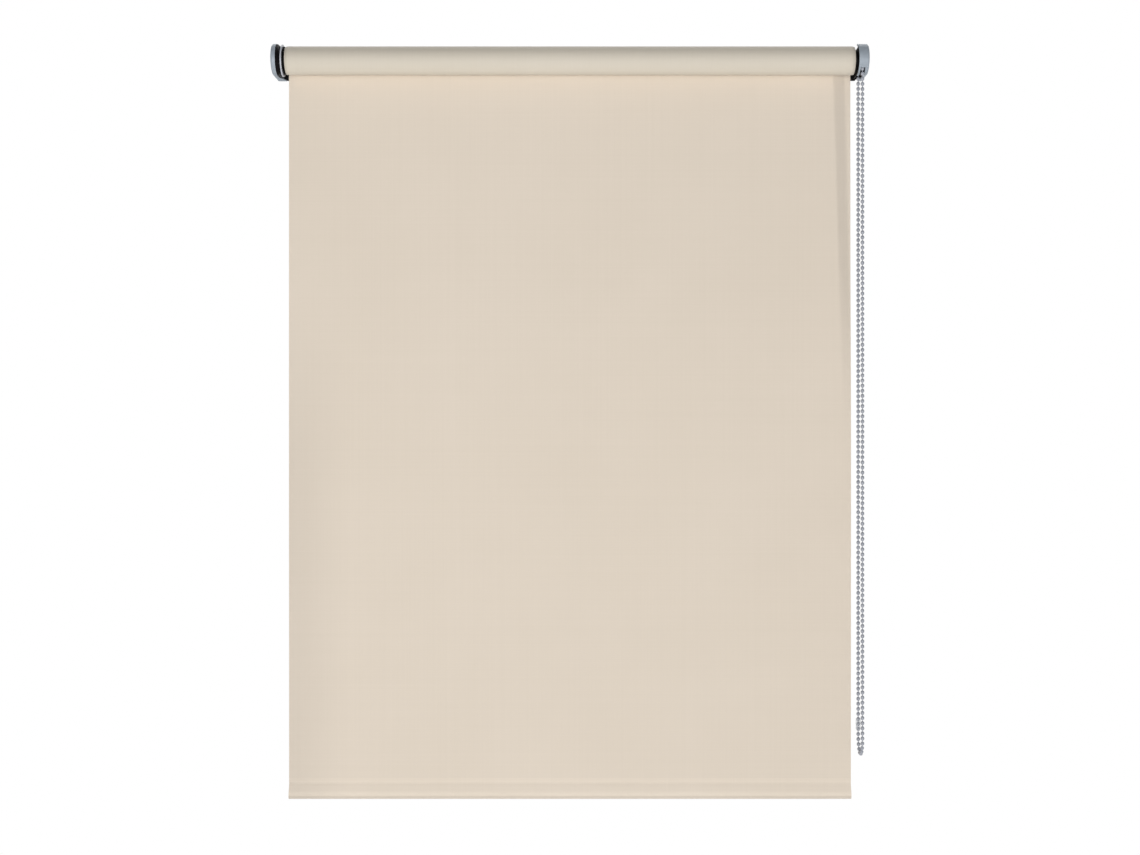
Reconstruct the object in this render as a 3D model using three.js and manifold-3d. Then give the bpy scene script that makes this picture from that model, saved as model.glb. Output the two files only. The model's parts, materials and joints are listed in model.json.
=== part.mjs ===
// A chain-operated roller blind, 700 mm wide, fully lowered.
// Millimetres. X runs along the roller, +Y points into the wall, +Z is up.
// The origin lies on the wall, midway between the brackets, level with the roller's axis.

import * as THREE from "three";
import { mergeVertices } from "three/addons/utils/BufferGeometryUtils.js";
import Module from "manifold-3d";

const wasm = await Module();
wasm.setup();

// ---- driving dimensions ----
const HALF_WIDTH = 350; // outer face of each end
const CLOTH_HALF = 334.8; // half the width of the cloth
const CLOTH_THICK = 0.5;
const AXIS_Y = -26.7; // the roller's axis
const ROLL_RADIUS = 16.7; // the tube with its last wraps of cloth
const TUBE_RADIUS = 16;
const TUBE_WALL = 1.2;
const ROUND = 48; // sides of a round piece

const END_RADIUS = 18.5; // front of both ends, seen along the roller
const END_CENTRE_Y = -30.5;
const END_HALF_HEIGHT = 18.2; // both ends, where they meet the wall
const WALL_GAP = 0.3;
const SHELL = 1.5; // wall of the plastic covers

const CLOTH_FRONT_Y = AXIS_Y + ROLL_RADIUS + 0.3; // front face of the hanging cloth
const HEM_TOP = -853.9;
const HEM_BOTTOM = -875.4;
const HEM_DEPTH = 3.6;
const BAR_DEPTH = 2.4;
const BAR_HEIGHT = 16;
const BAR_HALF = 331;
const BAR_WALL = 0.7;

const FOOT_INNER = 312; // inner end of each bracket's wall foot
const FOOT_THICK = 2.6;
const FOOT_HALF_HEIGHT = 17.8;
const SCREW_HOLE_X = 322;
const SCREW_HOLE_Z = 10;
const SCREW_HOLE_RADIUS = 2.1;

const CHAIN_X = 342.8;
const CHAIN_DIAMETER = 4.5;
const WHEEL_BEADS = 14; // beads carried in one turn of the wheel
const BEAD_PITCH = 6;
const CHAIN_RADIUS = (WHEEL_BEADS * BEAD_PITCH) / (2 * Math.PI);
const CHAIN_STRAIGHT = 798; // from the wheel's axis down to where the loop's end curves
const CHAIN_END_HEIGHT = 20; // height of the curve at the bottom of the loop

const POST_RADIUS = 5.1;
const CROWN_RADIUS = 14.4; // fits the tube
const PIN_RADIUS = 2.9;

const COLOURS = {
  silver_plastic: [0xa9b2bb, 0.42, 0.1],
  black_plastic: [0x0b0b0e, 0.5, 0],
  grey_plastic: [0x9a9ca6, 0.45, 0],
  nylon: [0xe6e4dc, 0.5, 0],
  steel: [0xb8bbc0, 0.3, 1],
  aluminium: [0xc8cacd, 0.35, 1],
  cloth: [0xddd1c1, 0.9, 0],
  cloth_back: [0xd0c8b8, 0.8, 0],
  clear_plastic: [0xc6cad0, 0.3, 0],
};

const blind = new THREE.Group();
blind.name = "roller_blind";

function add(name, geometry, colour) {
  const [color, roughness, metalness] = COLOURS[colour];
  const mesh = new THREE.Mesh(geometry, new THREE.MeshStandardMaterial({ color, roughness, metalness }));
  mesh.name = name;
  blind.add(mesh);
}

// ---- solids ----
function solid(geometry) {
  const bare = geometry.clone();
  bare.deleteAttribute("normal");
  bare.deleteAttribute("uv");
  const merged = mergeVertices(bare, 1e-4);
  return new wasm.Manifold(
    new wasm.Mesh({
      numProp: 3,
      vertProperties: new Float32Array(merged.attributes.position.array),
      triVerts: new Uint32Array(merged.index.array),
    }),
  );
}

function geometryOf(manifold) {
  const mesh = manifold.getMesh();
  const geometry = new THREE.BufferGeometry();
  geometry.setAttribute("position", new THREE.BufferAttribute(new Float32Array(mesh.vertProperties), 3));
  geometry.setIndex(new THREE.BufferAttribute(new Uint32Array(mesh.triVerts), 1));
  return geometry;
}

function cut(body, ...tools) {
  return geometryOf(tools.reduce((left, tool) => left.subtract(solid(tool)), solid(body)));
}

function join(body, ...others) {
  return geometryOf(others.reduce((sum, other) => sum.add(solid(other)), solid(body)));
}

function box(x0, x1, y0, y1, z0, z1) {
  const block = new THREE.BoxGeometry(x1 - x0, y1 - y0, z1 - z0);
  return block.translate((x0 + x1) / 2, (y0 + y1) / 2, (z0 + z1) / 2);
}

// A closed profile of [x, radius] points, turned about the roller's axis.
function turned(profile, sides = ROUND) {
  const loop = profile.map(([x, radius]) => new THREE.Vector2(radius, x));
  if (THREE.ShapeUtils.area(loop) < 0) loop.reverse();
  const geometry = new THREE.LatheGeometry([...loop, loop[0].clone()], sides);
  return geometry.rotateZ(-Math.PI / 2).translate(0, AXIS_Y, 0);
}

// A tube wall, or a plain round bar when the inner radius is left out.
function ring(x0, x1, outer, inner = 0, sides = ROUND) {
  return turned([[x0, inner], [x0, outer], [x1, outer], [x1, inner]], sides);
}

// A round bar along X, away from the roller's axis.
function barX(x0, x1, radius, y, z, sides = 24) {
  return ring(x0, x1, radius, 0, sides).translate(0, y - AXIS_Y, z);
}

// A round bar along Y.
function barY(x, z, y0, y1, radius, sides = 24) {
  return new THREE.CylinderGeometry(radius, radius, y1 - y0, sides).translate(x, (y0 + y1) / 2, z);
}

// Points along an arc in Y and Z, from one angle to another.
function arc(y, z, radius, from, to, steps) {
  const points = [];
  for (let i = 0; i <= steps; i += 1) {
    const angle = from + ((to - from) * i) / steps;
    points.push(new THREE.Vector2(y + radius * Math.cos(angle), z + radius * Math.sin(angle)));
  }
  return points;
}

// An outline drawn in Y and Z, with one hole if it has one, extruded along X.
function extrudedX(outline, hole, x0, x1) {
  const shape = new THREE.Shape(outline);
  if (hole) shape.holes.push(new THREE.Path(hole));
  const geometry = new THREE.ExtrudeGeometry(shape, { depth: x1 - x0, bevelEnabled: false });
  const axes = new THREE.Matrix4().makeBasis(
    new THREE.Vector3(0, 1, 0),
    new THREE.Vector3(0, 0, 1),
    new THREE.Vector3(1, 0, 0),
  );
  return geometry.applyMatrix4(axes).translate(x0, 0, 0);
}

// The end outline in Y and Z: round at the front, flat top and bottom, square at the wall.
function endOutline(inset, wallY = -WALL_GAP) {
  return [
    new THREE.Vector2(wallY, END_HALF_HEIGHT - inset),
    ...arc(END_CENTRE_Y, 0, END_RADIUS - inset, Math.PI / 2, (3 * Math.PI) / 2, 32),
    new THREE.Vector2(wallY, -END_HALF_HEIGHT + inset),
  ];
}

// A solid through outlines with equal numbers of points, each at its own X.
function stacked(sections) {
  const count = sections[0].outline.length;
  const positions = sections.flatMap(({ x, outline }) => outline.flatMap((p) => [x, p.x, p.y]));
  const faces = [];
  for (let s = 0; s + 1 < sections.length; s += 1) {
    for (let i = 0; i < count; i += 1) {
      const j = (i + 1) % count;
      const [a, b] = [s * count + i, s * count + j];
      const [c, d] = [a + count, b + count];
      faces.push(a, b, d, a, d, c);
    }
  }
  const last = (sections.length - 1) * count;
  for (const [p, q, r] of THREE.ShapeUtils.triangulateShape(sections[0].outline, [])) faces.push(p, r, q);
  for (const [p, q, r] of THREE.ShapeUtils.triangulateShape(sections.at(-1).outline, [])) {
    faces.push(last + p, last + q, last + r);
  }
  const geometry = new THREE.BufferGeometry();
  geometry.setAttribute("position", new THREE.Float32BufferAttribute(positions, 3));
  geometry.setIndex(faces);
  if (solid(geometry).volume() < 0) {
    for (let i = 0; i < faces.length; i += 3) [faces[i + 1], faces[i + 2]] = [faces[i + 2], faces[i + 1]];
    geometry.setIndex(faces);
  }
  return geometry;
}

// An end-shaped block whose edge at x = outer is rounded over.
function roundedEnd(inner, outer, radius) {
  const toward = Math.sign(outer - inner);
  const sections = [{ x: inner, outline: endOutline(0) }];
  for (let i = 0; i <= 4; i += 1) {
    const angle = (Math.PI / 2) * (i / 4);
    const x = outer - toward * radius * (1 - Math.sin(angle));
    sections.push({ x, outline: endOutline(radius * (1 - Math.cos(angle))) });
  }
  return stacked(sections);
}

// A block of the end outline, inset all round, from x0 to x1.
function endBlock(x0, x1, inset, wallY = -WALL_GAP) {
  return stacked([x0, x1].map((x) => ({ x, outline: endOutline(inset, wallY) })));
}

// A wire of round section along a curve.
function wire(curve, radius, steps, sides) {
  const section = new THREE.Shape();
  for (let i = 0; i < sides; i += 1) {
    const angle = (2 * Math.PI * i) / sides;
    section[i ? "lineTo" : "moveTo"](radius * Math.cos(angle), radius * Math.sin(angle));
  }
  return new THREE.ExtrudeGeometry(section, { steps, extrudePath: curve, bevelEnabled: false });
}

// A coil about the roller's axis.
class Coil extends THREE.Curve {
  constructor(x0, x1, radius, turns) {
    super();
    Object.assign(this, { x0, x1, radius, turns });
  }
  getPoint(t, target = new THREE.Vector3()) {
    const angle = 2 * Math.PI * this.turns * t;
    return target.set(
      this.x0 + (this.x1 - this.x0) * t,
      AXIS_Y + this.radius * Math.cos(angle),
      this.radius * Math.sin(angle),
    );
  }
}

// ---- left, idle end ----
const IDLE = { cover: -344.6, plate: -344.3, plateInner: -340.2, disc: -339.7, discInner: -338 };
const PEGS_Z = [-12, 12];
const PEG_RADIUS = 1.4;
const PEG_Y = -12;
const LIP_THICK = 1.1;

function leftCover() {
  const shell = cut(
    roundedEnd(IDLE.cover, -HALF_WIDTH, 2.2),
    endBlock(-HALF_WIDTH + SHELL, IDLE.cover + 1, SHELL, -WALL_GAP - SHELL),
  );
  const pegs = PEGS_Z.map((z) => barX(-HALF_WIDTH + SHELL - 0.5, -341.2, PEG_RADIUS, PEG_Y, z, 16));
  return join(shell, coverLip(), ...pegs);
}

// The cover's lip passes under the bracket, and widens towards the wall.
function coverLip(grow = 0) {
  const [outer, inner, wallY] = [IDLE.cover - 0.5, -338.7 + grow, 3 * grow - WALL_GAP];
  const corners = [
    [outer, -19.5 - grow], [IDLE.cover + grow, -19.5 - grow], [inner, -1.6 - grow], [inner, wallY], [outer, wallY],
  ];
  const shape = new THREE.Shape(corners.map(([x, y]) => new THREE.Vector2(x, y)));
  const lip = new THREE.ExtrudeGeometry(shape, { depth: LIP_THICK + grow, bevelEnabled: false });
  return lip.translate(0, 0, -END_HALF_HEIGHT);
}

function foot(inner, outer, hole) {
  const plate = box(inner, outer, -FOOT_THICK, 0, -FOOT_HALF_HEIGHT, FOOT_HALF_HEIGHT);
  const holes = [-SCREW_HOLE_Z, SCREW_HOLE_Z].map((z) => barY(hole, z, -FOOT_THICK - 1, 1, SCREW_HOLE_RADIUS));
  return cut(plate, ...holes);
}

function leftBracket() {
  const side = stacked([
    { x: IDLE.plate, outline: endOutline(0.2, -0.1) },
    { x: IDLE.plate + 1, outline: endOutline(0.4, -0.1) },
    { x: IDLE.plateInner, outline: endOutline(3.2, -0.1) },
  ]);
  const whole = join(side, foot(IDLE.plate, -FOOT_INNER, -SCREW_HOLE_X));
  const lipRoom = coverLip(0.3);
  const pegHoles = PEGS_Z.map((z) => barX(IDLE.plate - 1, IDLE.plateInner + 1, PEG_RADIUS + 0.3, PEG_Y, z, 16));
  return cut(whole, lipRoom, ring(IDLE.plate - 1, IDLE.plateInner + 1, 5.5), ...pegHoles);
}

function idleBush() {
  return turned([
    [-345.6, 3.1], [-345.6, 6.6], [-344.6, 6.6], [-344.6, 5.2], [-340.5, 5.2], [-340.5, 3.1],
  ], 40);
}

function idleFlange() {
  return turned([
    [IDLE.disc, 5.9], [IDLE.disc, 18.3], [IDLE.disc + 0.3, 18.65], [IDLE.discInner - 0.3, 18.65],
    [IDLE.discInner, 18.3], [IDLE.discInner, 5.9],
  ]);
}

const KEY_HALF = 3.7; // half the width of the tube's inner rib, behind its groove
const KEY_RADIUS = 12.6;

function idlePlug() {
  const body = turned([
    [-339.4, 3.2], [-339.4, 5.6], [-337.7, 5.6], [-337.7, 16.5], [-336.5, 16.5], [-336.5, 12.5],
    [-334.5, 12.5], [-334.5, CROWN_RADIUS], [-302.8, CROWN_RADIUS], [-302, CROWN_RADIUS - 0.8],
    [-302, 0], [-306.2, 0], [-306.2, 4.6], [-330, 4.6], [-330, 3.2],
  ], 40);
  return cut(body, keyRoom(-334.6, -301));
}

// The space that the tube's inner rib takes out of a plug.
function keyRoom(x0, x1) {
  return box(x0, x1, AXIS_Y - CROWN_RADIUS - 2, AXIS_Y - KEY_RADIUS + 0.4, -KEY_HALF - 0.4, KEY_HALF + 0.4);
}

function idlePin() {
  return turned([
    [-346.5, 0], [-346.5, 2.2], [-345.8, PIN_RADIUS], [-329.7, PIN_RADIUS], [-329.7, 4.2],
    [-327.7, 4.2], [-327.7, 2], [-318, 2], [-318, 0],
  ], 32);
}

// ---- roller ----
const TUBE_END = 333; // right end of the tube, inside the cloth

function rollerTube() {
  const notched = (radius, half, floor) => {
    const edge = Math.PI - Math.asin(half / radius);
    return [
      new THREE.Vector2(AXIS_Y - floor, -half),
      ...arc(AXIS_Y, 0, radius, -edge, edge, ROUND),
      new THREE.Vector2(AXIS_Y - floor, half),
    ];
  };
  const outer = notched(TUBE_RADIUS, 2.5, 13.8);
  const inner = notched(TUBE_RADIUS - TUBE_WALL, KEY_HALF, KEY_RADIUS);
  return extrudedX(outer, inner, -CLOTH_HALF + 0.4, TUBE_END);
}

function fabricSpline() {
  return box(-CLOTH_HALF + 2, TUBE_END - 1.5, AXIS_Y - 15.6, AXIS_Y - 14.1, -2.1, 2.1);
}

function fabricRoll() {
  return ring(-CLOTH_HALF, CLOTH_HALF, ROLL_RADIUS, TUBE_RADIUS + 0.2);
}

// ---- right, drive end ----
const DRIVE = { inner: 338, guard: 338.4, guardOuter: 339.6, plate: 345.5, plateOuter: 346.8, post: 345.2 };
const GUARD_TOP = 14.2; // over the wheel; the guard's front follows the housing all the way up
const GUARD_FRONT_Y = -33;

// The housing is open on the side of the roller, and its nose reaches further than its back.
function driveHousing() {
  return cut(
    roundedEnd(DRIVE.inner, HALF_WIDTH, 2.2),
    endBlock(DRIVE.inner - 1, HALF_WIDTH - SHELL, SHELL, 1),
    box(DRIVE.inner - 1, 341.5, -30.5, 1, -30, 30),
    box(DRIVE.inner - 1, 345.1, -12, 1, -30, 30),
    box(CHAIN_X - 2.7, CHAIN_X + 2.7, -60, -9, -30, -11.7),
  );
}

// The black cheek that keeps the chain on the wheel, between the wheel and the roller.
function chainGuard() {
  return cut(
    endBlock(DRIVE.guard, DRIVE.guardOuter, SHELL + 0.3, -FOOT_THICK - 0.3),
    ring(DRIVE.guard - 1, DRIVE.guardOuter + 1, 9),
    box(DRIVE.guard - 1, DRIVE.guardOuter + 1, GUARD_FRONT_Y, 1, GUARD_TOP, 30),
  );
}

function rightBracket() {
  const plate = endBlock(DRIVE.plate, DRIVE.plateOuter, SHELL + 0.4, -0.1);
  const narrow = box(344.6, DRIVE.plateOuter, -FOOT_THICK, 0, -13.6, 13.6);
  const bevelled = [-1, 1].map((side) =>
    new THREE.BoxGeometry(8, 20, 8).rotateY(Math.PI / 4).translate(345.6, 0, side * (FOOT_HALF_HEIGHT + 0.8)),
  );
  const whole = join(plate, narrow, cut(foot(FOOT_INNER, 344.8, SCREW_HOLE_X), ...bevelled));
  return cut(whole, ring(DRIVE.plate - 1, DRIVE.plateOuter + 1, 1.7, 0, 24));
}

function drivePost() {
  return turned([
    [DRIVE.post, 1.6], [DRIVE.post, POST_RADIUS], [303.4, POST_RADIUS], [303.4, 4.3], [302, 4.3],
    [302, POST_RADIUS], [300.5, POST_RADIUS - 0.8], [300.5, 0], [330, 0], [330, 1.6],
  ], 40);
}

function postScrew() {
  const screw = turned([
    [332, 0], [332, 1.3], [347.1, 1.3], [347.1, 3.2], [348, 3.2], [348.3, 2.6], [348.3, 0],
  ], 32);
  const slot = box(347.8, 349, AXIS_Y - 2.2, AXIS_Y + 2.2, -0.4, 0.4);
  const cross = box(347.8, 349, AXIS_Y - 0.4, AXIS_Y + 0.4, -2.2, 2.2);
  return cut(screw, slot, cross);
}

function retainingRing() {
  return cut(ring(302.3, 303.1, 7.5, 4.6, 40), box(301, 304, AXIS_Y - 3, AXIS_Y + 3, 0, 9));
}

// The crown's collar meets the end of the tube under the cloth, and its hub reaches out to the guard.
function driveCrown() {
  const body = turned([
    [338.1, 8], [338.1, 12.8], [CLOTH_HALF - 0.2, 12.8], [CLOTH_HALF - 0.2, TUBE_RADIUS - 0.1],
    [TUBE_END + 0.1, TUBE_RADIUS - 0.1], [TUBE_END + 0.1, CROWN_RADIUS], [304.8, CROWN_RADIUS],
    [304, CROWN_RADIUS - 0.8], [304, 5.4], [307, 5.4], [307, 8],
  ], 40);
  return cut(body, keyRoom(303, TUBE_END + 0.1));
}

// The wheel's groove holds the beads halfway, with a deeper pocket for each bead.
function chainWheel() {
  const [x0, x1] = [339.9, 345.2];
  const wheel = turned([
    [x0, 5.45], [332, 5.45], [332, 7.6], [x0, 7.6], [x0, 12.6], [x1, 12.6], [x1, 5.45],
  ], 2 * WHEEL_BEADS);
  const groove = new THREE.TorusGeometry(CHAIN_RADIUS, CHAIN_DIAMETER / 2 + 0.3, 8, 2 * WHEEL_BEADS)
    .rotateY(Math.PI / 2)
    .translate(CHAIN_X, AXIS_Y, 0);
  const pockets = [];
  for (let i = 0; i < WHEEL_BEADS; i += 1) {
    const angle = (2 * Math.PI * (i + 0.5)) / WHEEL_BEADS;
    const pocket = new THREE.SphereGeometry(2.5, 6, 5);
    pocket.translate(CHAIN_X, AXIS_Y + 12 * Math.cos(angle), 12 * Math.sin(angle));
    pockets.push(pocket);
  }
  return cut(wheel, groove, ...pockets);
}

function clutchSpring(x0) {
  return wire(new Coil(x0, x0 + 8, 6.2, 4), 0.55, 44, 5);
}

// ---- chain ----
// The loop as points in Y and Z about the roller's axis: from the wheel's top over its back, down,
// round the bottom, up, and over the wheel's front to its top.
function chainPoints() {
  const straight = (y, from, to, steps) =>
    Array.from({ length: steps - 1 }, (_, i) => new THREE.Vector2(y, from + ((to - from) * (i + 1)) / steps));
  const gap = 0.02; // radians that keep the loop's two ends apart at the wheel's top
  const bend = arc(0, 0, 1, 0, -Math.PI, 16).map(
    (p) => new THREE.Vector2(CHAIN_RADIUS * p.x, CHAIN_END_HEIGHT * p.y - CHAIN_STRAIGHT),
  );
  return [
    ...arc(0, 0, CHAIN_RADIUS, Math.PI / 2 - gap, 0, 8),
    ...straight(CHAIN_RADIUS, 0, -CHAIN_STRAIGHT, 16),
    ...bend,
    ...straight(-CHAIN_RADIUS, -CHAIN_STRAIGHT, 0, 16),
    ...arc(0, 0, CHAIN_RADIUS, Math.PI, Math.PI / 2 + gap, 8),
  ];
}

function beadChain() {
  const points = chainPoints().map((p) => new THREE.Vector3(CHAIN_X, AXIS_Y + p.x, p.y));
  return tubeThrough(points, CHAIN_DIAMETER / 2, 8);
}

// A closed tube whose sections stand square to a route that stays in one plane of constant X.
function tubeThrough(points, radius, sides) {
  const positions = [];
  points.forEach((point, i) => {
    const before = points[Math.max(i - 1, 0)];
    const after = points[Math.min(i + 1, points.length - 1)];
    const along = after.clone().sub(before).normalize();
    const across = new THREE.Vector3(1, 0, 0);
    const out = along.clone().cross(across);
    for (let s = 0; s < sides; s += 1) {
      const angle = (2 * Math.PI * (s + 0.5)) / sides;
      const corner = point.clone();
      corner.addScaledVector(across, radius * Math.cos(angle)).addScaledVector(out, radius * Math.sin(angle));
      positions.push(corner.x, corner.y, corner.z);
    }
  });
  const faces = [];
  for (let i = 0; i + 1 < points.length; i += 1) {
    for (let s = 0; s < sides; s += 1) {
      const [a, b] = [i * sides + s, i * sides + ((s + 1) % sides)];
      const [c, d] = [a + sides, b + sides];
      faces.push(a, b, d, a, d, c);
    }
  }
  const last = (points.length - 1) * sides;
  for (let s = 1; s + 1 < sides; s += 1) faces.push(0, s + 1, s, last, last + s, last + s + 1);
  const geometry = new THREE.BufferGeometry();
  geometry.setAttribute("position", new THREE.Float32BufferAttribute(positions, 3));
  geometry.setIndex(faces);
  if (solid(geometry).volume() < 0) {
    for (let i = 0; i < faces.length; i += 3) [faces[i + 1], faces[i + 2]] = [faces[i + 2], faces[i + 1]];
    geometry.setIndex(faces);
  }
  return geometry;
}

function chainConnector() {
  const [low, high, y] = [-792, -779, AXIS_Y + CHAIN_RADIUS];
  const profile = [
    [2.45, low], [2.75, low], [2.95, low + 0.8], [2.95, high - 0.8], [2.75, high], [2.45, high], [2.45, low],
  ].map(([radius, z]) => new THREE.Vector2(radius, z));
  return new THREE.LatheGeometry(profile, 24).rotateX(Math.PI / 2).translate(CHAIN_X, y, 0);
}

// ---- cloth and hem ----
const HEM_Y = CLOTH_FRONT_Y + HEM_DEPTH / 2; // the pocket's front is level with the cloth's
const HEM_MIDDLE = (HEM_TOP + HEM_BOTTOM) / 2;
const BAR_MIDDLE = HEM_BOTTOM + CLOTH_THICK + 0.8 + BAR_HEIGHT / 2;

function fabricSheet() {
  return box(-CLOTH_HALF, CLOTH_HALF, CLOTH_FRONT_Y, CLOTH_FRONT_Y + CLOTH_THICK, HEM_TOP + 0.3, 0);
}

// A tall slot shape with round top and bottom.
function slotOutline(depth, height, middle) {
  const radius = depth / 2;
  const rise = height / 2 - radius;
  return [
    ...arc(HEM_Y, middle + rise, radius, 0, Math.PI, 8),
    ...arc(HEM_Y, middle - rise, radius, Math.PI, 2 * Math.PI, 8),
  ];
}

function hemPocket() {
  const height = HEM_TOP - HEM_BOTTOM;
  const hole = slotOutline(HEM_DEPTH - 2 * CLOTH_THICK, height - 2 * CLOTH_THICK, HEM_MIDDLE);
  return extrudedX(slotOutline(HEM_DEPTH, height, HEM_MIDDLE), hole, -CLOTH_HALF, CLOTH_HALF);
}

function bottomBar() {
  const hole = slotOutline(BAR_DEPTH - 2 * BAR_WALL, BAR_HEIGHT - 2 * BAR_WALL, BAR_MIDDLE);
  return extrudedX(slotOutline(BAR_DEPTH, BAR_HEIGHT, BAR_MIDDLE), hole, -BAR_HALF, BAR_HALF);
}

// A cap's head closes the end of the bar, and its tongue sits inside the bar.
function barCap(side) {
  const [near, far] = [BAR_HALF + 0.3, CLOTH_HALF - 0.4];
  const head = extrudedX(slotOutline(BAR_DEPTH, BAR_HEIGHT, BAR_MIDDLE), null, near, far);
  const tongue = box(near - 12, near + 0.2, HEM_Y - 0.25, HEM_Y + 0.25, BAR_MIDDLE - 5.5, BAR_MIDDLE + 5.5);
  const cap = join(head, tongue);
  return side > 0 ? cap : cap.rotateZ(Math.PI).translate(0, 2 * HEM_Y, 0);
}

add("left_bracket", leftBracket(), "black_plastic");
add("left_cover", leftCover(), "silver_plastic");
add("idle_bush", idleBush(), "nylon");
add("right_bracket", rightBracket(), "black_plastic");
add("drive_housing", driveHousing(), "silver_plastic");
add("chain_guard", chainGuard(), "black_plastic");
add("drive_post", drivePost(), "nylon");
add("post_screw", postScrew(), "steel");
add("retaining_ring", retainingRing(), "steel");
add("clutch_spring_inner", clutchSpring(309), "steel");
add("clutch_spring_outer", clutchSpring(320), "steel");
add("bead_chain", beadChain(), "grey_plastic");
add("fabric_sheet", fabricSheet(), "cloth");
add("roller_tube", rollerTube(), "aluminium");
add("fabric_roll", fabricRoll(), "cloth_back");
add("fabric_spline", fabricSpline(), "nylon");
add("idle_plug", idlePlug(), "black_plastic");
add("idle_flange", idleFlange(), "grey_plastic");
add("pin_spring", wire(new Coil(-327.1, -307.2, 3.4, 8), 0.4, 72, 5), "steel");
add("idle_pin", idlePin(), "steel");
add("drive_crown", driveCrown(), "black_plastic");
add("chain_wheel", chainWheel(), "black_plastic");
add("hem_pocket", hemPocket(), "cloth");
add("bottom_bar", bottomBar(), "aluminium");
add("bar_cap_left", barCap(-1), "nylon");
add("bar_cap_right", barCap(1), "nylon");
add("chain_connector", chainConnector(), "clear_plastic");

export default blind;
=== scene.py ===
"""A chain-operated roller blind: the looks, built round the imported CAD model. Metres, in the CAD's frame."""

import json
import math

import bmesh
import bpy
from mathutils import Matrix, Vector, noise


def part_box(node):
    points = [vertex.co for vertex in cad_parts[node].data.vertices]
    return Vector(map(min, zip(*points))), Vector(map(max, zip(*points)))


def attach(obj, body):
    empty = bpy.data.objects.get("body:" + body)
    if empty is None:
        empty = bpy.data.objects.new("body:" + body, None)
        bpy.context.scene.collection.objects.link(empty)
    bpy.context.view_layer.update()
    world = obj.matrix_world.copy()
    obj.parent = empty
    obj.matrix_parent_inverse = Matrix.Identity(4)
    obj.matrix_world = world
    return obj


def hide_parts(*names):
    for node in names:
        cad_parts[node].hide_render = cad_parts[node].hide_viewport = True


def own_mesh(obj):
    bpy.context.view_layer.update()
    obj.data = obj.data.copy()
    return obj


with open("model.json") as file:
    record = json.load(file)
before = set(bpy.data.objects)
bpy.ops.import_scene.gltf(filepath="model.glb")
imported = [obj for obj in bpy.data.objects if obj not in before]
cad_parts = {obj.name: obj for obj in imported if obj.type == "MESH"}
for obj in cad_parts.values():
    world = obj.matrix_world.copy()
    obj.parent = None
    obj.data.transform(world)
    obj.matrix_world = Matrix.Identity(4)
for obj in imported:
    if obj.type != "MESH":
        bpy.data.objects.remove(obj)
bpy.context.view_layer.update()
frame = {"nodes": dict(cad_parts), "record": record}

# ---- sizes worked out from the frame ----
ROLL_LOW, ROLL_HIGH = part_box("fabric_roll")
SHEET_LOW, SHEET_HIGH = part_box("fabric_sheet")
HEM_LOW, HEM_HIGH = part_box("hem_pocket")

AXIS_Y = (ROLL_LOW.y + ROLL_HIGH.y) / 2
ROLL_RADIUS = (ROLL_HIGH.z - ROLL_LOW.z) / 2
CLOTH_HALF = ROLL_HIGH.x
HEM_TOP = HEM_HIGH.z
CLOTH_Y = (SHEET_LOW.y + SHEET_HIGH.y) / 2
CLOTH_THICK = 0.0003
THREAD_PITCH = 0.0005
WRAPS = 1.5  # turns of cloth left on the tube
TUBE_RADIUS = 0.01602  # where the innermost wrap lies
OVERLAP = 0.0004  # the sheet's end, inside the top of the weld

# The chain's route, as in the CAD: Y and Z about the roller's axis, in one plane of constant X.
WHEEL_BEADS, BEAD_PITCH = 14, 0.006
CHAIN_X = 0.3428
CHAIN_RADIUS = WHEEL_BEADS * BEAD_PITCH / (2 * math.pi)
CHAIN_STRAIGHT = 0.798
CHAIN_END_HEIGHT = 0.020
CHAIN_GAP = 0.02  # radians between the loop's start and end, at the wheel's top
ROUTE_STEP = 0.0006
BEAD_DIAMETER = 0.0045
BEAD_HALF_LENGTH = BEAD_DIAMETER / 2 * 1.1  # beads are a little longer than they are wide
BEADS = 282
CORD_RADIUS = 0.00055

# The curled edge of the cloth: where the curl starts and ends at the top, and how each line leans
# outwards lower down.
CURL_START, START_LEAN = 0.3122, 0.031
CURL_END, END_LEAN = 0.3285, 0.0225
CURL_DEPTH = 0.0044

HEM_FLARE = 0.0022  # the hem stands this share wider than the cloth at its lower edge

# Where the world's light changes from its strength below to its strength above, by direction's height.
WORLD_LOW, WORLD_HIGH = -0.1, 0.25
WORLD_BELOW, WORLD_ABOVE = 0.56, 0.18


# ---- camera, light and floor ----
def make_camera():
    camera = bpy.data.objects.new("camera", bpy.data.cameras.new("camera"))
    camera.location = (0, -1.850, -0.4329)
    camera.rotation_euler = (math.radians(90), 0, 0)
    camera.data.sensor_width = 36
    camera.data.lens = 48.76
    camera.data.clip_start, camera.data.clip_end = 0.01, 50
    bpy.context.scene.collection.objects.link(camera)
    bpy.context.scene.camera = camera


def area_light(name, place, target, size, power):
    data = bpy.data.lights.new(name, "AREA")
    data.shape = "RECTANGLE"
    data.size, data.size_y = size
    data.energy = power
    light = bpy.data.objects.new(name, data)
    light.location = place
    light.rotation_euler = (Vector(target) - Vector(place)).to_track_quat("-Z", "Y").to_euler()
    light.visible_camera = False
    bpy.context.scene.collection.objects.link(light)


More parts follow.
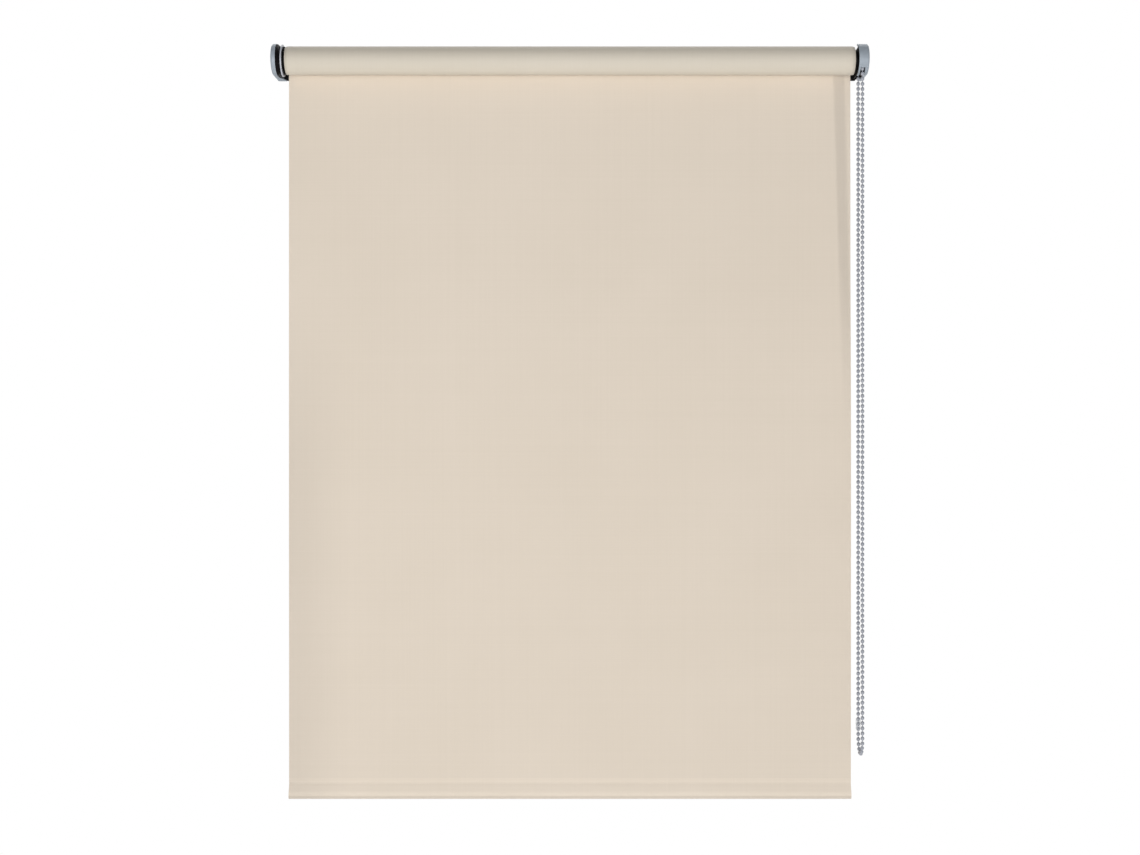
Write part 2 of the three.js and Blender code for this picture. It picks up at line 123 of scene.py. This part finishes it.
def make_world():
    """The camera sees white all round; the object gets a dimmer light, weaker from above."""
    world = bpy.data.worlds.new("studio")
    bpy.context.scene.world = world
    world.use_nodes = True
    nodes, links = world.node_tree.nodes, world.node_tree.links
    nodes.clear()
    path = nodes.new("ShaderNodeLightPath")
    seen = nodes.new("ShaderNodeBackground")
    seen.inputs["Color"].default_value = (1, 1, 1, 1)
    seen.inputs["Strength"].default_value = 1.0
    light = nodes.new("ShaderNodeBackground")
    light.inputs["Color"].default_value = (0.96, 0.98, 1, 1)
    direction = nodes.new("ShaderNodeTexCoord")
    height = nodes.new("ShaderNodeSeparateXYZ")
    fade = nodes.new("ShaderNodeMapRange")
    for value, number in zip((WORLD_LOW, WORLD_HIGH, WORLD_BELOW, WORLD_ABOVE), range(1, 5)):
        fade.inputs[number].default_value = value
    links.new(direction.outputs["Generated"], height.inputs[0])
    links.new(height.outputs["Z"], fade.inputs[0])
    links.new(fade.outputs[0], light.inputs["Strength"])
    mix = nodes.new("ShaderNodeMixShader")
    out = nodes.new("ShaderNodeOutputWorld")
    links.new(path.outputs["Is Camera Ray"], mix.inputs[0])
    links.new(light.outputs[0], mix.inputs[1])
    links.new(seen.outputs[0], mix.inputs[2])
    links.new(mix.outputs[0], out.inputs["Surface"])
    bpy.context.scene.view_settings.view_transform = "Standard"


def make_floor():
    """A pale floor below the blind, which also gives off a little light."""
    bpy.ops.mesh.primitive_circle_add(vertices=96, radius=1.9, fill_type="NGON", location=(0, -0.65, -1.32))
    floor = bpy.context.object
    floor.name = "floor"
    nodes = Nodes("floor_white")
    nodes.set(
        Base_Color=(0.88, 0.88, 0.88, 1), Roughness=0.9,
        Emission_Color=(1, 1, 1, 1), Emission_Strength=0.28,
    )
    floor.data.materials.append(nodes.material)


# ---- material helpers ----
def srgb(r, g, b):
    """A colour given as it looks on a screen, as the linear numbers that shaders take."""
    channels = [c / 255 for c in (r, g, b)]
    linear = [c / 12.92 if c <= 0.04045 else ((c + 0.055) / 1.055) ** 2.4 for c in channels]
    return (*linear, 1)


class Nodes:
    """A material's node tree, with short calls to add nodes and join them."""

    def __init__(self, name):
        self.material = bpy.data.materials.new(name)
        self.material.use_nodes = True
        self.tree = self.material.node_tree
        self.shader = self.tree.nodes["Principled BSDF"]

    def add(self, kind, settings=None, **inputs):
        node = self.tree.nodes.new("ShaderNode" + kind)
        for key, value in (settings or {}).items():
            setattr(node, key, value)
        for key, value in inputs.items():
            socket = node.inputs[int(key[1:])] if key[0] == "_" else node.inputs[key.replace("_", " ")]
            if isinstance(value, bpy.types.NodeSocket):
                self.tree.links.new(value, socket)
            else:
                socket.default_value = value
        return node

    def set(self, **inputs):
        for key, value in inputs.items():
            socket = self.shader.inputs[key.replace("_", " ")]
            if isinstance(value, bpy.types.NodeSocket):
                self.tree.links.new(value, socket)
            else:
                socket.default_value = value

    def place(self, scale=(1, 1, 1)):
        """Object coordinates, so that a pattern keeps its scale when the piece is flattened."""
        coordinates = self.add("TexCoord").outputs["Object"]
        return self.add("Mapping", Vector=coordinates, Scale=scale).outputs[0]

    def noise(self, scale, detail, stretch=(1, 1, 1)):
        place = self.place(stretch)
        node = self.add("TexNoise", Vector=place, Scale=scale, Detail=detail, Roughness=0.55)
        return node.outputs["Fac"]

    def math(self, operation, a, b):
        return self.add("Math", {"operation": operation}, _0=a, _1=b).outputs[0]

    def between(self, share, low, high):
        """A colour from low to high as share goes from 0.3 to 0.7, where noise mostly lies."""
        ramp = self.add("ValToRGB", Fac=share)
        ends = ramp.color_ramp.elements
        ends[0].position, ends[1].position = 0.3, 0.7
        ends[0].color, ends[1].color = low, high
        return ramp.outputs["Color"]

    def grey_between(self, share, low, high):
        """The same for a single number."""
        return self.add("MapRange", Value=share, _1=0.3, _2=0.7, _3=low, _4=high).outputs[0]

    def fade(self, direction, start, end):
        """A number from 0 to 1 between two places along a direction, with soft ends."""
        place = self.add("TexCoord").outputs["Object"]
        along = self.add("VectorMath", {"operation": "DOT_PRODUCT"}, _0=place, _1=direction)
        soft = {"interpolation_type": "SMOOTHSTEP"}
        return self.add("MapRange", soft, Value=along.outputs["Value"], _1=start, _2=end).outputs[0]

    def with_painted_shading(self, colour, fades, strength):
        """The colour, multiplied by strength where all the fades are 1: painted shade where strength is below
        1, a painted highlight where above.
        """
        share = 1.0
        for direction, start, end in fades:
            share = self.math("MULTIPLY", share, self.fade(direction, start, end))
        mix = self.add("Mix", {"data_type": "RGBA", "blend_type": "MIX"}, Factor=share)
        self.tree.links.new(colour, mix.inputs["A"])
        scaled = self.add("VectorMath", {"operation": "SCALE"}, _0=colour, Scale=strength).outputs[0]
        self.tree.links.new(scaled, mix.inputs["B"])
        return mix.outputs["Result"]

    def bump(self, height, distance, strength):
        return self.add("Bump", Height=height, Distance=distance, Strength=strength).outputs[0]


def cloth(name, light, dark, roughness, coated, painted_shading=()):
    """Fine plain weave: warp and weft threads, with slubs and a slow drift of tone.

    Each shade given is painted shade, or a painted highlight where its strength is above 1, as
    (fades, strength): the colour is multiplied by strength where all its fades, given as
    (direction, from, to), have run their course.
    """
    nodes = Nodes(name)
    coordinates = nodes.place()
    thread = 2 * math.pi / (20 * THREAD_PITCH)

    def threads_across(axis):
        bands = {"wave_type": "BANDS", "wave_profile": "SIN", "bands_direction": axis}
        return nodes.add("TexWave", bands, Vector=coordinates, Scale=thread, Distortion=0.0)

    warp, weft = threads_across("X"), threads_across("Z")
    weave = nodes.math("MULTIPLY", warp.outputs["Fac"], weft.outputs["Fac"])
    slubs = nodes.noise(60, 2, (0.05, 1, 14))
    upright = nodes.noise(60, 2, (14, 1, 0.05))
    drift = nodes.noise(5, 2)
    streaks = nodes.math("ADD", nodes.math("MULTIPLY", slubs, 0.5), nodes.math("MULTIPLY", upright, 0.5))
    tone = nodes.math("ADD", nodes.math("MULTIPLY", streaks, 0.55), nodes.math("MULTIPLY", drift, 0.45))
    tint = nodes.between(tone, dark, light)
    threads = nodes.add("Mix", {"data_type": "RGBA", "blend_type": "MULTIPLY"}, Factor=0.07)
    nodes.tree.links.new(tint, threads.inputs["A"])
    nodes.tree.links.new(nodes.between(weave, (0.82, 0.82, 0.82, 1), (1, 1, 1, 1)), threads.inputs["B"])
    height = nodes.math("ADD", weave, nodes.math("MULTIPLY", streaks, 0.6))
    colour = threads.outputs["Result"]
    for shade in painted_shading:
        colour = nodes.with_painted_shading(colour, *shade)
    nodes.set(
        Base_Color=colour,
        Roughness=nodes.grey_between(streaks, roughness - 0.04, roughness + 0.04),
        Normal=nodes.bump(height, 0.00006 if coated else 0.0001, 0.5),
        Sheen_Weight=0.05 if coated else 0.12,
        Sheen_Roughness=0.5,
        Specular_IOR_Level=0.3,
    )
    return nodes.material


def moulded(name, light, dark, roughness, grain=0.00003, metallic=0.0, specular=0.5):
    """Moulded plastic with a fine spark-eroded grain and small marks from handling."""
    nodes = Nodes(name)
    grains = nodes.noise(2600, 2)
    marks = nodes.noise(130, 4)
    nodes.set(
        Base_Color=nodes.between(marks, dark, light),
        Roughness=nodes.grey_between(marks, roughness - 0.05, roughness + 0.06),
        Metallic=metallic,
        Specular_IOR_Level=specular,
        Normal=nodes.bump(grains, grain, 0.4),
    )
    return nodes.material


def clear(name):
    """Thin clear plastic, a little uneven."""
    nodes = Nodes(name)
    ripple = nodes.noise(240, 2)
    nodes.set(
        Base_Color=nodes.between(ripple, srgb(206, 210, 216), srgb(226, 230, 234)),
        Roughness=nodes.grey_between(ripple, 0.08, 0.2),
        Alpha=0.25,
    )
    return nodes.material


def metal(name, light, dark, roughness, stretch):
    """Bare metal, drawn or rolled along one axis."""
    nodes = Nodes(name)
    lines = nodes.noise(900, 3, stretch)
    nodes.set(
        Base_Color=nodes.between(lines, dark, light),
        Roughness=nodes.grey_between(lines, roughness - 0.08, roughness + 0.08),
        Metallic=1.0,
        Normal=nodes.bump(lines, 0.00001, 0.3),
    )
    return nodes.material


def make_materials():
    across, up = (1, 0, 0), (0, 0, 1)
    # Painted shade: the front cloth darkens towards its lower left edge, standing in for less light falling
    # there.
    left_edge_painted_shade = ((across, -0.255, -0.336), (up, -0.22, -0.50))
    # Painted shade: a darker slanting band on the curled edge by the chain, in its upper part.
    curl = (
        ((1, 0, START_LEAN), CURL_START - 0.001, CURL_START + 0.003),
        ((1, 0, END_LEAN), CURL_END + 0.001, CURL_END - 0.003),
        (up, 0.0, -0.010), (up, -0.44, -0.20),
    )
    # Painted highlight: a lighter band across the top of the hem's weld.
    weld = ((up, HEM_TOP + 0.0038, HEM_TOP + 0.0024), (up, HEM_TOP - 0.0026, HEM_TOP - 0.0012))
    # Painted highlight: a lighter band on the lower part of the hem, above its rounded bottom.
    over_bar_painted_highlight = ((up, HEM_TOP - 0.0110, HEM_TOP - 0.0155), (up, HEM_TOP - 0.0186, HEM_TOP - 0.0170))
    # Painted shade: darker along the hem's rounded bottom, where it turns under.
    hem_end_painted_shade = ((up, HEM_TOP - 0.0172, HEM_TOP - 0.0195),)
    # The front cloth's painted shade and painted highlights, each as (fades, strength); the hem shares this
    # material.
    front_painted_light_and_shade = ((left_edge_painted_shade, 0.915), (curl, 0.93), (weld, 1.035), (over_bar_painted_highlight, 1.06), (hem_end_painted_shade, 0.87))
    # Painted shade: the cloth's reverse darkens towards both cut ends, on the roll's ends and along the
    # sheet's back edges.
    roll_end_painted_shade = tuple(
        ((((side, 0, 0), CLOTH_HALF - 0.0045, CLOTH_HALF - 0.0002),), 0.84) for side in (-1, 1)
    )
    front = srgb(231, 218, 202), srgb(226, 213, 196)
    reverse = srgb(217, 208, 193), srgb(212, 203, 187)
    return {
        "cloth_front": cloth("cloth_front", *front, 0.88, False, front_painted_light_and_shade),
        "cloth_reverse": cloth("cloth_reverse", *reverse, 0.62, True, roll_end_painted_shade),
        "cover_silver": moulded(
            "cover_silver", srgb(163, 172, 181), srgb(156, 165, 174), 0.5, metallic=0.1
        ),
        "bracket_black": moulded("bracket_black", srgb(6, 6, 9), srgb(3, 3, 5), 0.62, specular=0.15),
        "plug_black": moulded("plug_black", srgb(6, 6, 7), srgb(3, 3, 4), 0.62, specular=0.15),
        "flange_grey": moulded("flange_grey", srgb(196, 198, 206), srgb(188, 190, 198), 0.4),
        "nylon_white": moulded("nylon_white", srgb(236, 234, 226), srgb(228, 226, 216), 0.5),
        "chain_grey": moulded("chain_grey", srgb(169, 172, 180), srgb(159, 162, 171), 0.3, 0.00001),
        "connector_clear": clear("connector_clear"),
        "steel_bright": metal(
            "steel_bright", srgb(205, 206, 208), srgb(188, 189, 192), 0.3, (0.1, 1, 1)
        ),
        "tube_aluminium": metal(
            "tube_aluminium", srgb(214, 215, 217), srgb(198, 199, 202), 0.36, (0.02, 1, 1)
        ),
    }


# ---- mesh helpers ----
def mesh_object(name, vertices, faces, material):
    mesh = bpy.data.meshes.new(name)
    mesh.from_pydata(vertices, [], faces)
    mesh.validate()
    mesh.materials.append(material)
    mesh.polygons.foreach_set("use_smooth", [True] * len(mesh.polygons))
    piece = bpy.data.objects.new(name, mesh)
    bpy.context.scene.collection.objects.link(piece)
    return piece


def strip(size, closed=False, around=False):
    """Faces between rows of points, size being (rows, columns).

    closed joins the last row to the first, and around joins the last column to the first.
    """
    count, columns = size
    faces = []
    for i in range(count if closed else count - 1):
        for j in range(columns if around else columns - 1):
            a, b = i * columns + j, i * columns + (j + 1) % columns
            c, d = ((i + 1) % count) * columns + (j + 1) % columns, ((i + 1) % count) * columns + j
            faces.append((a, b, c, d))
    return faces


def face_outwards(piece):
    edit = bmesh.new()
    edit.from_mesh(piece.data)
    bmesh.ops.remove_doubles(edit, verts=edit.verts, dist=1e-7)
    bmesh.ops.recalc_face_normals(edit, faces=edit.faces)
    edit.to_mesh(piece.data)
    edit.free()


def sharpen(piece, degrees=35):
    """Flat faces keep crisp edges, and round ones shade smoothly."""
    piece.data.set_sharp_from_angle(angle=math.radians(degrees))


def smoothstep(low, high, value):
    share = min(1, max(0, (value - low) / (high - low)))
    return share * share * (3 - 2 * share)


# ---- chain ----
def chain_route():
    """Points of the loop, from the wheel's top over its back, down, round the bottom and up again."""

    def bow(width, height, start, end, drop, steps):
        angles = [start + (end - start) * i / steps for i in range(steps + 1)]
        return [(width * math.cos(a), height * math.sin(a) - drop) for a in angles]

    def straight(y, start, end):
        steps = round(abs(end - start) / ROUTE_STEP)
        return [(y, start + (end - start) * i / steps) for i in range(1, steps)]

    flat = [
        *bow(CHAIN_RADIUS, CHAIN_RADIUS, math.pi / 2 - CHAIN_GAP, 0, 0, 30),
        *straight(CHAIN_RADIUS, 0, -CHAIN_STRAIGHT),
        *bow(CHAIN_RADIUS, CHAIN_END_HEIGHT, 0, -math.pi, CHAIN_STRAIGHT, 80),
        *straight(-CHAIN_RADIUS, -CHAIN_STRAIGHT, 0),
        *bow(CHAIN_RADIUS, CHAIN_RADIUS, math.pi, math.pi / 2 + CHAIN_GAP, 0, 30),
    ]
    return [Vector((CHAIN_X, AXIS_Y + y, z)) for y, z in flat]


def evenly(route, count):
    """count points at equal steps along a route, each with the route's direction there."""
    lengths = [0.0]
    for a, b in zip(route, route[1:]):
        lengths.append(lengths[-1] + (b - a).length)
    found, i = [], 0
    for k in range(count):
        along = lengths[-1] * (k + 0.5) / count
        while lengths[i + 1] < along:
            i += 1
        share = (along - lengths[i]) / (lengths[i + 1] - lengths[i])
        found.append((route[i].lerp(route[i + 1], share), (route[i + 1] - route[i]).normalized()))
    return found, lengths[-1]


def make_chain(materials):
    """Round moulded beads on a thin cord."""
    route = chain_route()
    beads, length = evenly(route, BEADS)
    rings, sides = 8, 12
    vertices, faces = [], []
    across = Vector((1, 0, 0))
    for place, along in beads:
        out = along.cross(across)
        base = len(vertices)
        for i in range(1, rings):
            angle = math.pi * i / rings
            radius = BEAD_DIAMETER / 2 * math.sin(angle)
            centre = place - along * (BEAD_HALF_LENGTH * math.cos(angle))
            for j in range(sides):
                turn = 2 * math.pi * j / sides
                vertices.append(centre + (across * math.cos(turn) + out * math.sin(turn)) * radius)
        faces += [tuple(base + v for v in face) for face in strip((rings - 1, sides), around=True)]
        for end, ring in ((-1, 0), (1, rings - 2)):
            tip = len(vertices)
            vertices.append(place + along * (end * BEAD_HALF_LENGTH))
            for j in range(sides):
                faces.append((tip, base + ring * sides + j, base + ring * sides + (j + 1) % sides))
    thin = route[::3] + ([route[-1]] if (len(route) - 1) % 3 else [])
    base = len(vertices)
    for i, point in enumerate(thin):
        along = (thin[min(i + 1, len(thin) - 1)] - thin[max(i - 1, 0)]).normalized()
        out = along.cross(across)
        for j in range(6):
            turn = math.pi * j / 3
            vertices.append(point + (across * math.cos(turn) + out * math.sin(turn)) * CORD_RADIUS)
    faces += [tuple(base + v for v in face) for face in strip((len(thin), 6), around=True)]
    faces += [tuple(base + j for j in range(6)), tuple(len(vertices) - 6 + j for j in range(6))]
    chain = mesh_object("bead_chain_loop", vertices, faces, materials["chain_grey"])
    face_outwards(chain)
    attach(chain, "brackets")
    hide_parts("bead_chain")
    return chain, route, length


def make_connector(materials):
    """A clear sleeve with rounded ends and a slit, which snaps over the two end beads."""
    low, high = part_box("chain_connector")
    middle = (low + high) / 2
    half, outer, inner = (high.z - low.z) / 2, (high.x - low.x) / 2, 0.00248
    profile = [(inner, -half), (outer * 0.86, -half)]
    for i in range(1, 7):
        angle = math.pi / 2 * i / 6
        radius = outer * 0.86 + outer * 0.14 * math.sin(angle)
        profile.append((radius, -half + 0.0012 * (1 - math.cos(angle))))
    profile += [(radius, -z) for radius, z in reversed(profile)]
    sides = 40
    slit = 0.16
    vertices = []
    for j in range(sides + 1):
        turn = slit + (2 * math.pi - 2 * slit) * j / sides - math.pi / 2
        for radius, z in profile:
            x, y = middle.x + radius * math.cos(turn), middle.y + radius * math.sin(turn)
            vertices.append((x, y, middle.z + z))
    count = len(profile)
    faces = strip((sides + 1, count), around=True)
    faces += [tuple(range(count)), tuple(sides * count + j for j in range(count))]
    sleeve = mesh_object("connector_sleeve", vertices, faces, materials["connector_clear"])
    face_outwards(sleeve)
    sharpen(sleeve)
    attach(sleeve, "connector")
    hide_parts("chain_connector")
    return sleeve


# ---- pin spring ----
def make_pin_spring(materials):
    """The coil behind the idle pin, which shortens by the pin's travel when the pin is pressed in."""
    low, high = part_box("pin_spring")
    wire, turns, around, sides = 0.0004, 8, 28, 8
    start, end, coil = low.x + wire, high.x - wire, (high.z - low.z) / 2 - wire
    steps = turns * around
    vertices = []
    for i in range(steps + 1):
        angle = 2 * math.pi * turns * i / steps
        outward = Vector((0, math.cos(angle), math.sin(angle)))
        centre = Vector((start + (end - start) * i / steps, AXIS_Y, 0)) + outward * coil
        for j in range(sides):
            turn = 2 * math.pi * j / sides
            vertices.append(centre + (outward * math.cos(turn) + Vector((1, 0, 0)) * math.sin(turn)) * wire)
    faces = strip((steps + 1, sides), around=True)
    faces += [tuple(range(sides)), tuple(steps * sides + j for j in range(sides))]
    spring = mesh_object("pin_spring_coil", vertices, faces, materials["steel_bright"])
    face_outwards(spring)
    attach(spring, "roller")
    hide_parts("pin_spring")
    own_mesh(spring)


# ---- cloth ----
def make_roll(materials):
    """The last wraps on the tube: a spiral from the back of the roll, where the cloth leaves, inwards."""
    steps = 240
    layer = (ROLL_RADIUS - TUBE_RADIUS - CLOTH_THICK) / WRAPS
    # Finer columns near the cut ends, where the wraps are pressed flat.
    insets = (0.0, 0.0005, 0.0011, 0.0018, 0.0026, 0.0036)
    middle = [-CLOTH_HALF + 2 * CLOTH_HALF * i / 60 for i in range(1, 60)]
    columns = [-CLOTH_HALF + d for d in insets] + middle + [CLOTH_HALF - d for d in reversed(insets)]
    outer, inner = [], []
    for k in range(steps + 1):
        turn = 2 * math.pi * WRAPS * k / steps
        radius = ROLL_RADIUS - layer * turn / (2 * math.pi)
        for side, shell in ((radius, outer), (radius - CLOTH_THICK * 0.9, inner)):
            row = []
            for x in columns:
                pressed = 0.85 * smoothstep(CLOTH_HALF - 0.0034, CLOTH_HALF, abs(x))
                at = TUBE_RADIUS + (side - TUBE_RADIUS) * (1 - pressed)
                row.append((x, AXIS_Y + at * math.cos(turn), at * math.sin(turn)))
            shell.append(row)
    rows = outer + inner[::-1]
    vertices = [point for row in rows for point in row]
    count = len(columns)
    faces = strip((len(rows), count), closed=True)
    for k in range(steps):
        a, b = k * count, (k + 1) * count
        c, d = (len(rows) - 2 - k) * count, (len(rows) - 1 - k) * count
        faces.append((a, b, c, d))
        faces.append(tuple(v + count - 1 for v in (d, c, b, a)))
    roll = mesh_object("rolled_cloth", vertices, faces, materials["cloth_reverse"])
    face_outwards(roll)
    sharpen(roll, 50)
    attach(roll, "roller")
    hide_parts("fabric_roll")


def hang(x, z):
    """How far the hanging cloth stands off its plane towards the wall.

    It has a curled edge by the chain, and slow waves.
    """
    start, end = CURL_START - START_LEAN * z, CURL_END - END_LEAN * z
    depth = CURL_DEPTH * smoothstep(0.0, 0.010, -z) * (1 - smoothstep(0.20, 0.46, -z))
    straight = min(1, max(0, (x - start) / (end - start)))
    curl = depth * (0.5 * straight + 0.5 * smoothstep(start, end, x))
    free = smoothstep(0.0, 0.20, -z) * smoothstep(0.0, 0.30, z - HEM_TOP)
    waves = 0.0007 * math.sin(2 * math.pi * (x / 0.235 + 0.13)) * math.sin(math.pi * z / HEM_TOP)
    waves += 0.0009 * noise.noise(Vector((x * 4.1, 3.7, z * 1.6)))
    return curl + waves * free


def make_sheet(materials):
    """One length of cloth from the back of the roll to the hem: front, coated back and cut edges."""
    across = [-CLOTH_HALF + 2 * CLOTH_HALF * i / 150 for i in range(151)]
    edge = 0.296
    fine = [edge + (CLOTH_HALF - edge) * i / 40 for i in range(41)]
    columns = [x for x in across if x < edge - 0.002] + fine
    falls = [(OVERLAP - HEM_TOP) * i / 170 for i in range(171)]
    start_y = AXIS_Y + ROLL_RADIUS - CLOTH_THICK / 2
    sheets = []
    for side in (-1, 1):
        rows = []
        for drop in falls:
            plane = start_y + (CLOTH_Y - start_y) * smoothstep(0, -HEM_TOP, drop)
            rows.append([(x, plane + hang(x, -drop) + side * CLOTH_THICK / 2, -drop) for x in columns])
        sheets.append(rows)
    count, columns_count = len(falls), len(columns)
    vertices = [p for rows in sheets for row in rows for p in row]
    one = strip((count, columns_count))
    shift = count * columns_count
    faces = list(one)
    faces += [tuple(v + shift for v in reversed(face)) for face in one]
    rim = list(range(columns_count))
    rim += [i * columns_count + columns_count - 1 for i in range(1, count)]
    rim += [(count - 1) * columns_count + j for j in range(columns_count - 2, -1, -1)]
    rim += [i * columns_count for i in range(count - 2, 0, -1)]
    for a, b in zip(rim, rim[1:] + rim[:1]):
        faces.append((b, a, a + shift, b + shift))
    sheet = mesh_object("hanging_cloth", vertices, faces, materials["cloth_front"])
    sheet.data.materials.append(materials["cloth_reverse"])
    for polygon in sheet.data.polygons:
        if len(one) <= polygon.index < 2 * len(one):
            polygon.material_index = 1
    face_outwards(sheet)
    sharpen(sheet, 50)
    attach(sheet, "brackets")
    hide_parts("fabric_sheet")
    return sheet


# The hem's section in millimetres: the fall from the weld's top, and how far the line lies in front
# of the hanging cloth (behind it where negative).
HEM_FRONT = (
    (0.0, 0.00), (0.8, 0.06), (2.0, 0.06), (3.2, 0.00), (4.4, 0.04), (5.4, 0.16), (8.0, 0.30),
    (11.0, 0.38), (14.0, 0.40), (16.0, 0.38), (18.0, 0.28), (19.2, 0.14), (20.2, -0.12),
    (20.9, -0.48), (21.5, -0.95), (22.0, -1.55), (22.2, -2.05),
)
HEM_BACK = (
    (0.0, 0.00), (0.4, -0.28), (2.0, -0.50), (3.0, -0.80), (3.6, -1.70), (4.2, -2.90), (5.4, -3.55),
    (11.0, -3.75), (16.0, -3.75), (19.4, -3.60), (21.0, -3.20), (21.9, -2.65),
)


def hem_outline():
    """The outer line in Y and Z, from the weld's top down the front, round the bottom and up the back."""
    plane = HEM_LOW.y + CLOTH_THICK / 2 + 0.0002
    line = HEM_FRONT + HEM_BACK[::-1]
    outline = [(plane - out * 0.001, HEM_TOP - fall * 0.001) for fall, out in line]
    outline[0] = (outline[0][0] - CLOTH_THICK / 2, outline[0][1])
    outline[-1] = (outline[-1][0] + CLOTH_THICK / 2, outline[-1][1])
    return outline


def make_hem(materials):
    """The hem pocket, open at both ends, with the cloth's own thickness round the bar."""
    outline = hem_outline()
    count, steps = len(outline), 160
    inner = []
    for j, (y, z) in enumerate(outline):
        (ya, za), (yb, zb) = outline[j - 1], outline[(j + 1) % count]
        size = math.hypot(yb - ya, zb - za)
        thin = CLOTH_THICK if -0.0032 > z - HEM_TOP else CLOTH_THICK * 0.3
        inner.append((y + thin * (za - zb) / size, z + thin * (yb - ya) / size))
    vertices = []
    for section in (outline, inner):
        for k in range(steps + 1):
            x = -CLOTH_HALF + 2 * CLOTH_HALF * k / steps
            for y, z in section:
                loose = smoothstep(0.003, 0.008, HEM_TOP - z)
                flare = 1 + HEM_FLARE * smoothstep(0.004, 0.018, HEM_TOP - z)
                unevenness = 0.00006 * loose * noise.noise(Vector((x * 38, 0, z * 60)))
                vertices.append((x * flare, y + unevenness, z))
    shift = count * (steps + 1)
    faces = strip((steps + 1, count), around=True)
    faces += [tuple(v + shift for v in reversed(face)) for face in faces]
    for row in (0, steps):
        for j in range(count):
            a, b = row * count + j, row * count + (j + 1) % count
            faces.append((a, b, b + shift, a + shift))
    hem = mesh_object("hem_cloth", vertices, faces, materials["cloth_front"])
    face_outwards(hem)
    sharpen(hem, 60)
    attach(hem, "hem")
    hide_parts("hem_pocket")
    return hem


# ---- hard parts ----
BEVELS = {
    "left_cover": 0.0003, "drive_housing": 0.0003, "chain_guard": 0.0002,
    "left_bracket": 0.0003, "right_bracket": 0.0003, "idle_flange": 0.00015,
    "idle_plug": 0.0002, "drive_crown": 0.0002, "roller_tube": 0.0001,
}


def finish_cad(materials):
    """CAD nodes keep their shape; they get rounded edges, smooth shading and their slot's material."""
    slots = {s["node"]: s["material_slot"] for s in frame["record"]["subparts"]}
    for name, node in frame["nodes"].items():
        node.data.materials.clear()
        node.data.materials.append(materials[slots[name]])
        node.data.polygons.foreach_set("use_smooth", [True] * len(node.data.polygons))
        weld = node.modifiers.new("weld", "WELD")
        weld.merge_threshold = 1e-6
        if name in BEVELS:
            flat = node.modifiers.new("flat", "DECIMATE")
            flat.decimate_type = "DISSOLVE"
            flat.angle_limit = math.radians(0.5)
            bevel = node.modifiers.new("edges", "BEVEL")
            bevel.limit_method = "ANGLE"
            bevel.angle_limit = math.radians(40)
            bevel.width = BEVELS[name]
            bevel.segments = 2
            bevel.use_clamp_overlap = True
            node.modifiers.new("normals", "WEIGHTED_NORMAL")
        else:
            sharpen(node)


# ---- the scene ----
make_camera()
materials = make_materials()
chain, route, chain_length = make_chain(materials)
connector = make_connector(materials)
make_pin_spring(materials)
make_roll(materials)
hem = make_hem(materials)
sheet = make_sheet(materials)
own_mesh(sheet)
finish_cad(materials)

make_world()
make_floor()
area_light("front_key", (-0.30, -3.0, -0.70), (0.0, 0, -0.42), (2.2, 1.1), 50.5)
area_light("top_back", (0.0, 1.1, 1.55), (0, 0, 0), (2.6, 0.8), 24)
area_light("back_fill", (0.6, 2.6, -0.1), (0, 0, -0.45), (2.4, 2.0), 22)
